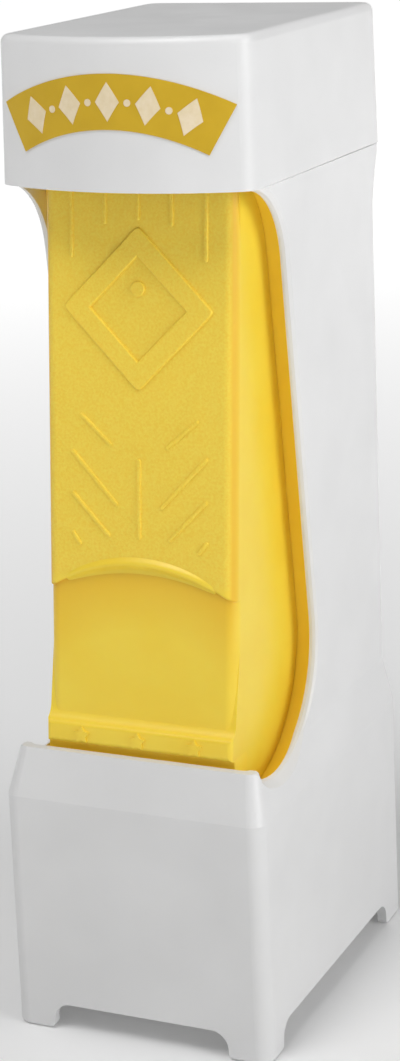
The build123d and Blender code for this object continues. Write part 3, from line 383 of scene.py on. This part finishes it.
def print_shape(bm, along, outline, rings=4):
    """Adds a flat shape to the label, as a fan of rings from its middle to the outline."""
    levels = []
    for ring in range(1, rings + 1):
        share = ring / rings
        levels.append([bm.verts.new(on_label(v * share, along + u * share / LABEL_RADIUS)) for u, v in outline])
    middle = bm.verts.new(on_label(0, along))
    count = len(outline)
    for i in range(count):
        j = (i + 1) % count
        bm.faces.new((middle, levels[0][i], levels[0][j]))
        for inner, outer in zip(levels, levels[1:]):
            bm.faces.new((inner[i], outer[i], outer[j], inner[j]))


def lozenge(half_width, half_height, steps=6):
    corners = [(half_width, 0), (0, half_height), (-half_width, 0), (0, -half_height)]
    points = []
    for a, b in zip(corners, corners[1:] + corners[:1]):
        for i in range(steps):
            share = i / steps
            points.append((a[0] + (b[0] - a[0]) * share, a[1] + (b[1] - a[1]) * share))
    return points


def disc(radius, steps=24):
    return [
        (radius * math.cos(2 * math.pi * i / steps), radius * math.sin(2 * math.pi * i / steps)) for i in range(steps)
    ]


LOZENGE_STEP = math.radians(10.2)
bm = bmesh.new()
for i in range(-2, 3):
    print_shape(bm, i * LOZENGE_STEP, lozenge(2.9 * MM, 4.3 * MM))
for i in (-1.5, -0.5, 0.5, 1.5):
    print_shape(bm, i * LOZENGE_STEP, disc(0.8 * MM))
bmesh.ops.recalc_face_normals(bm, faces=bm.faces)
label_print = piece("label_print", mesh_from(bm, "label_print"), cream_print, "lid")
thick = label_print.modifiers.new("thickness", "SOLIDIFY")
thick.thickness = 0.1 * MM
thick.offset = 0


# Soft bead along the arch above the lever's scoop, which the panel's lower edge swells into
BEAD_HALF_ANGLE = math.radians(26.5)
BEAD_STEPS = 64
# distance above the arch and height off the face along the bead's section, in millimetres
BEAD_SECTION = [
    (2.4, -0.20),
    (1.9, 0.10),
    (1.4, 0.62),
    (0.8, 0.98),
    (0.2, 0.86),
    (-0.3, 0.30),
    (-0.7, -0.35),
    (-1.4, -0.78),
    (-2.6, -1.00),
    (-2.6, -1.50),
    (2.4, -1.50),
]
face_up = (FACE_HIGH - FACE_LOW).normalized()
face_out = Vector((0, -face_up.z, face_up.y))
crown_point = FACE_LOW + face_up * (ARCH_CROWN - FACE_LOW.z) / face_up.z

bm = bmesh.new()
loops = []
for i in range(BEAD_STEPS + 1):
    share = 2 * i / BEAD_STEPS - 1
    angle = BEAD_HALF_ANGLE * share
    swell = (1 - share**2) ** 0.7
    loop = []
    for above_arch, height in BEAD_SECTION:
        reach = ARCH_RADIUS + above_arch * MM * (0.45 + 0.55 * swell)
        lift = height * MM * (swell if height > 0 else 1)
        point = (
            crown_point
            + Vector((1, 0, 0)) * reach * math.sin(angle)
            + face_up * (reach * math.cos(angle) - ARCH_RADIUS)
            + face_out * (lift - 0.12 * MM * (1 - swell))
        )
        loop.append(bm.verts.new(point))
    loops.append(loop)
join_rings(bm, loops)
arch_bead = piece("arch_bead", mesh_from(bm, "arch_bead", True), yellow_smooth, "lever")
smooth = arch_bead.modifiers.new("smooth", "SUBSURF")
smooth.levels = 2
smooth.render_levels = 2


# Return springs: each front leg turns with the lever about the pivot, and its coil stays on the pin
LEG_CUT = 2.8 * MM
LEG_SIDES = 16
# place along the leg and share of the wire's radius, with a bevelled tip
LEG_RINGS = ((-0.03, 0.7), (-0.02, 0.97), (0.2, 0.97), (0.6, 0.97), (0.97, 0.97), (0.99, 0.85), (1.0, 0.5))


def front_leg(bm):
    """Ends of a spring's front leg, which leaves the coil as a tangent."""
    front_y = min(v.co.y for v in bm.verts)
    tip = [v.co for v in bm.verts if v.co.y < front_y + 1.0 * MM]
    end = sum(tip, Vector()) / len(tip)
    run_y, run_z = end.y - PIVOT_Y, end.z - PIVOT_Z
    angle = math.atan2(run_z, run_y) + math.acos(COIL_RADIUS / math.hypot(run_y, run_z))
    start = Vector((end.x, PIVOT_Y + COIL_RADIUS * math.cos(angle), PIVOT_Z + COIL_RADIUS * math.sin(angle)))
    return start, end


def cut_front_leg(bm, start, along):
    """Takes the front leg off a spring, from a little way past the coil, and closes the wire's end."""
    whole = bm.verts[:] + bm.edges[:] + bm.faces[:]
    bmesh.ops.bisect_plane(bm, geom=whole, plane_co=start + along * LEG_CUT, plane_no=along)
    leg_faces = []
    for face in bm.faces:
        middle = face.calc_center_median() - start
        depth = middle.dot(along)
        if depth > LEG_CUT and (middle - along * depth).length < WIRE_RADIUS * 1.15:
            leg_faces.append(face)
    bmesh.ops.delete(bm, geom=leg_faces, context="FACES")
    bmesh.ops.holes_fill(bm, edges=[e for e in bm.edges if e.is_boundary], sides=0)


def spring_pieces(side):
    """Coil with its rear leg, and the front leg as a piece of its own."""
    bm = bmesh.new()
    bm.from_mesh(nodes["return_spring_" + side].data)
    bmesh.ops.remove_doubles(bm, verts=bm.verts, dist=1e-7)
    start, end = front_leg(bm)
    along = (end - start).normalized()
    cut_front_leg(bm, start, along)
    coil = piece("spring_coil_" + side, mesh_from(bm, "spring_coil_" + side, True), steel, "housing")
    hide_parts("return_spring_" + side)

    across = Vector((1, 0, 0))
    upward = along.cross(across)
    leg_end = end + along * 0.5 * MM
    bm = bmesh.new()
    rings = []
    for share, width in LEG_RINGS:
        middle = start.lerp(leg_end, share)
        ring = []
        for i in range(LEG_SIDES):
            turn = 2 * math.pi * i / LEG_SIDES
            offset = across * math.cos(turn) + upward * math.sin(turn)
            ring.append(bm.verts.new(middle + offset * WIRE_RADIUS * width))
        rings.append(ring)
    join_rings(bm, rings)
    piece("spring_leg_" + side, mesh_from(bm, "spring_leg_" + side, True), steel, "lever")


for side in ("left", "right"):
    spring_pieces(side)


# Stage: a pale floor and soft light from the right, the front above and overhead
def plain_light(name, at, aim, size, power):
    data = bpy.data.lights.new(name, "AREA")
    data.shape = "DISK"
    data.size = size
    data.energy = power
    lamp = bpy.data.objects.new(name, data)
    scene.collection.objects.link(lamp)
    lamp.location = at
    lamp.rotation_euler = (Vector(aim) - Vector(at)).to_track_quat("-Z", "Y").to_euler()


floor_paint = Shader("floor_paint", Roughness=0.7)
floor_paint.colour(floor_paint.mix(floor_paint.noise(3, 2), (0.80, 0.80, 0.80), (0.83, 0.83, 0.83)))
# the lamps reach less far than the floor does, so its far part shines a little
floor_paint.glow(floor_paint.span(floor_paint.reach(), 0.12, 1.2, 0.08, 0.85), (1, 1, 1))
bm = bmesh.new()
bmesh.ops.create_grid(bm, x_segments=8, y_segments=8, size=6.0)
floor_mesh = mesh_from(bm, "floor")
floor_mesh.materials.append(floor_paint.mat)
floor = bpy.data.objects.new("floor", floor_mesh)
scene.collection.objects.link(floor)
# just under the feet
floor.location.z = -0.2 * MM

plain_light("key", (1.3, -0.30, 0.55), (0, 0, 0.13), 0.9, 8.4)
plain_light("fill", (-0.22, -0.68, 1.58), (0, 0, 0.12), 0.8, 11.2)
plain_light("above", (0.1, 0.1, 1.6), (0, 0, 0.1), 1.0, 3.6)

world = bpy.data.worlds.new("studio")
scene.world = world
world.use_nodes = True
background = world.node_tree.nodes["Background"]
background.inputs["Color"].default_value = (1, 1, 1, 1)
background.inputs["Strength"].default_value = 0.17
